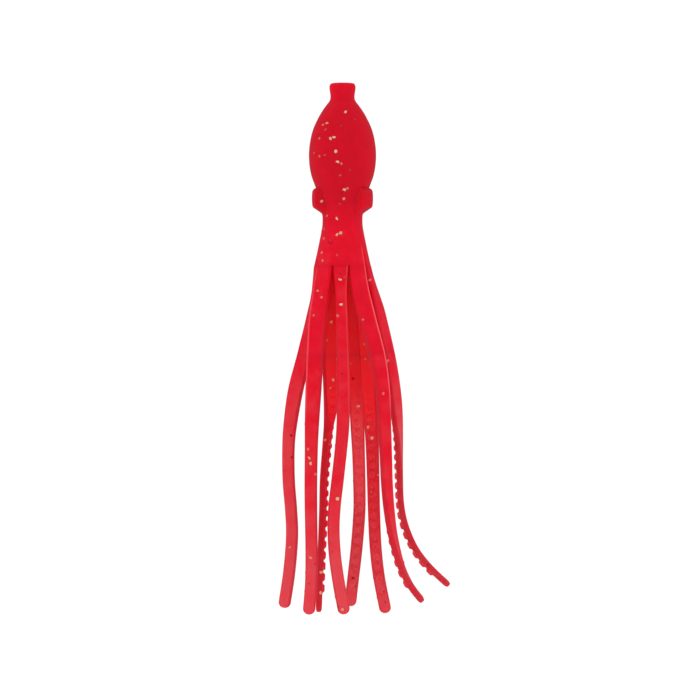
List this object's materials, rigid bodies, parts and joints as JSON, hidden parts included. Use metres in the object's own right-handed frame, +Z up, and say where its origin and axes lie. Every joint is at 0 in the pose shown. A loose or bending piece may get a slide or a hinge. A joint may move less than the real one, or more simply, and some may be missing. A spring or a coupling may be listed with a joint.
{
  "type": "octopus skirt lure",
  "caption": "Hollow soft-vinyl octopus skirt: nose tube with line hole, egg-shaped head with eye lobes, a neck that grips an insert, and suckered strips that bend.",
  "frame": {"origin": "centre of the line hole at the top of the nose tube", "axes": "+Z up out of the line hole, the strips hang down -Z, -Y is the front that the caption describes"},
  "size_m": [0.0389, 0.0217, 0.12],
  "materials": {
    "vinyl": "satin translucent soft vinyl, clear red",
    "glitter": "pale gold flakes in the vinyl"
  },
  "bodies": {
    "head": {"nose_tube": "vinyl", "mantle_shell": "vinyl", "right_eye_lobe": "vinyl", "left_eye_lobe": "vinyl", "neck_sleeve": "vinyl"},
    "front_tentacle_upper": {"front_tentacle_upper": "vinyl"},
    "front_tentacle_lower": {"front_tentacle_lower": "vinyl"},
    "front_right_tentacle_upper": {"front_right_tentacle_upper": "vinyl"},
    "front_right_tentacle_lower": {"front_right_tentacle_lower": "vinyl"},
    "right_tentacle_upper": {"right_tentacle_upper": "vinyl"},
    "right_tentacle_lower": {"right_tentacle_lower": "vinyl"},
    "rear_right_tentacle_upper": {"rear_right_tentacle_upper": "vinyl"},
    "rear_right_tentacle_lower": {"rear_right_tentacle_lower": "vinyl"},
    "rear_tentacle_upper": {"rear_tentacle_upper": "vinyl"},
    "rear_tentacle_lower": {"rear_tentacle_lower": "vinyl"},
    "rear_left_tentacle_upper": {"rear_left_tentacle_upper": "vinyl"},
    "rear_left_tentacle_lower": {"rear_left_tentacle_lower": "vinyl"},
    "left_tentacle_upper": {"left_tentacle_upper": "vinyl"},
    "left_tentacle_lower": {"left_tentacle_lower": "vinyl"},
    "front_left_tentacle_upper": {"front_left_tentacle_upper": "vinyl"},
    "front_left_tentacle_lower": {"front_left_tentacle_lower": "vinyl"}
  },
  "joints": [
    {"name": "front_tentacle_root", "type": "hinge", "parent": "head", "child": "front_tentacle_upper", "pos_m": [-0.00042, -0.00598, -0.0423], "axis": [-0.9972, 0.0656, -0.0351], "range_deg": [-2.5, 60], "stiffness_Nm_per_rad": 0.0005},
    {"name": "front_tentacle_bend", "type": "hinge", "parent": "front_tentacle_upper", "child": "front_tentacle_lower", "pos_m": [-0.0002, -0.0095, -0.0816], "axis": [-0.9972, 0.0017, 0.0741], "range_deg": [-6, 50], "stiffness_Nm_per_rad": 0.0005},
    {"name": "front_right_tentacle_root", "type": "hinge", "parent": "head", "child": "front_right_tentacle_upper", "pos_m": [0.0034, -0.00494, -0.0423], "axis": [-0.8123, -0.5782, -0.076], "range_deg": [-2, 60], "stiffness_Nm_per_rad": 0.0005},
    {"name": "front_right_tentacle_bend", "type": "hinge", "parent": "front_right_tentacle_upper", "child": "front_right_tentacle_lower", "pos_m": [0.0096, -0.0081, -0.0816], "axis": [-0.7413, -0.6701, -0.0369], "range_deg": [-6, 50], "stiffness_Nm_per_rad": 0.0005},
    {"name": "right_tentacle_root", "type": "hinge", "parent": "head", "child": "right_tentacle_upper", "pos_m": [0.0059, -0.00109, -0.0423], "axis": [-0.1762, -0.9841, -0.0224], "range_deg": [-2.5, 60], "stiffness_Nm_per_rad": 0.0005},
    {"name": "right_tentacle_bend", "type": "hinge", "parent": "right_tentacle_upper", "child": "right_tentacle_lower", "pos_m": [0.0129, -0.0016, -0.0816], "axis": [0.0002, -1, -0.0037], "range_deg": [-6, 50], "stiffness_Nm_per_rad": 0.0005},
    {"name": "rear_right_tentacle_root", "type": "hinge", "parent": "head", "child": "rear_right_tentacle_upper", "pos_m": [0.00473, 0.00369, -0.0423], "axis": [0.6213, -0.7798, -0.0767], "range_deg": [-2.5, 60], "stiffness_Nm_per_rad": 0.0005},
    {"name": "rear_right_tentacle_bend", "type": "hinge", "parent": "rear_right_tentacle_upper", "child": "rear_right_tentacle_lower", "pos_m": [0.0069, 0.0076, -0.0816], "axis": [0.965, -0.26, 0.0353], "range_deg": [-6, 50], "stiffness_Nm_per_rad": 0.0005},
    {"name": "rear_tentacle_root", "type": "hinge", "parent": "head", "child": "rear_tentacle_upper", "pos_m": [0.00037, 0.00599, -0.0423], "axis": [0.9911, -0.0829, 0.1044], "range_deg": [-2.5, 60], "stiffness_Nm_per_rad": 0.0005},
    {"name": "rear_tentacle_bend", "type": "hinge", "parent": "rear_tentacle_upper", "child": "rear_tentacle_lower", "pos_m": [0.0036, 0.0107, -0.0816], "axis": [0.9996, -0.0008, 0.0297], "range_deg": [-6, 50], "stiffness_Nm_per_rad": 0.0005},
    {"name": "rear_left_tentacle_root", "type": "hinge", "parent": "head", "child": "rear_left_tentacle_upper", "pos_m": [-0.00405, 0.00442, -0.0423], "axis": [0.7369, 0.661, 0.1415], "range_deg": [-2, 60], "stiffness_Nm_per_rad": 0.0005},
    {"name": "rear_left_tentacle_bend", "type": "hinge", "parent": "rear_left_tentacle_upper", "child": "rear_left_tentacle_lower", "pos_m": [-0.0035, 0.0082, -0.0816], "axis": [0.1055, 0.9943, 0.0159], "range_deg": [-4, 50], "stiffness_Nm_per_rad": 0.0005},
    {"name": "left_tentacle_root", "type": "hinge", "parent": "head", "child": "left_tentacle_upper", "pos_m": [-0.006, 0.00016, -0.0423], "axis": [0.0254, 0.9996, -0.0075], "range_deg": [-4, 60], "stiffness_Nm_per_rad": 0.0005},
    {"name": "left_tentacle_bend", "type": "hinge", "parent": "left_tentacle_upper", "child": "left_tentacle_lower", "pos_m": [-0.0122, 0.0008, -0.0816], "axis": [-0.9046, 0.4226, 0.0552], "range_deg": [-8, 50], "stiffness_Nm_per_rad": 0.0005},
    {"name": "front_left_tentacle_root", "type": "hinge", "parent": "head", "child": "front_left_tentacle_upper", "pos_m": [-0.00421, -0.00428, -0.0423], "axis": [-0.717, 0.6965, -0.0289], "range_deg": [-2.5, 60], "stiffness_Nm_per_rad": 0.0005},
    {"name": "front_left_tentacle_bend", "type": "hinge", "parent": "front_left_tentacle_upper", "child": "front_left_tentacle_lower", "pos_m": [-0.007, -0.0086, -0.0816], "axis": [-0.9701, 0.2422, 0.0126], "range_deg": [-6, 50], "stiffness_Nm_per_rad": 0.0005}
  ]
}
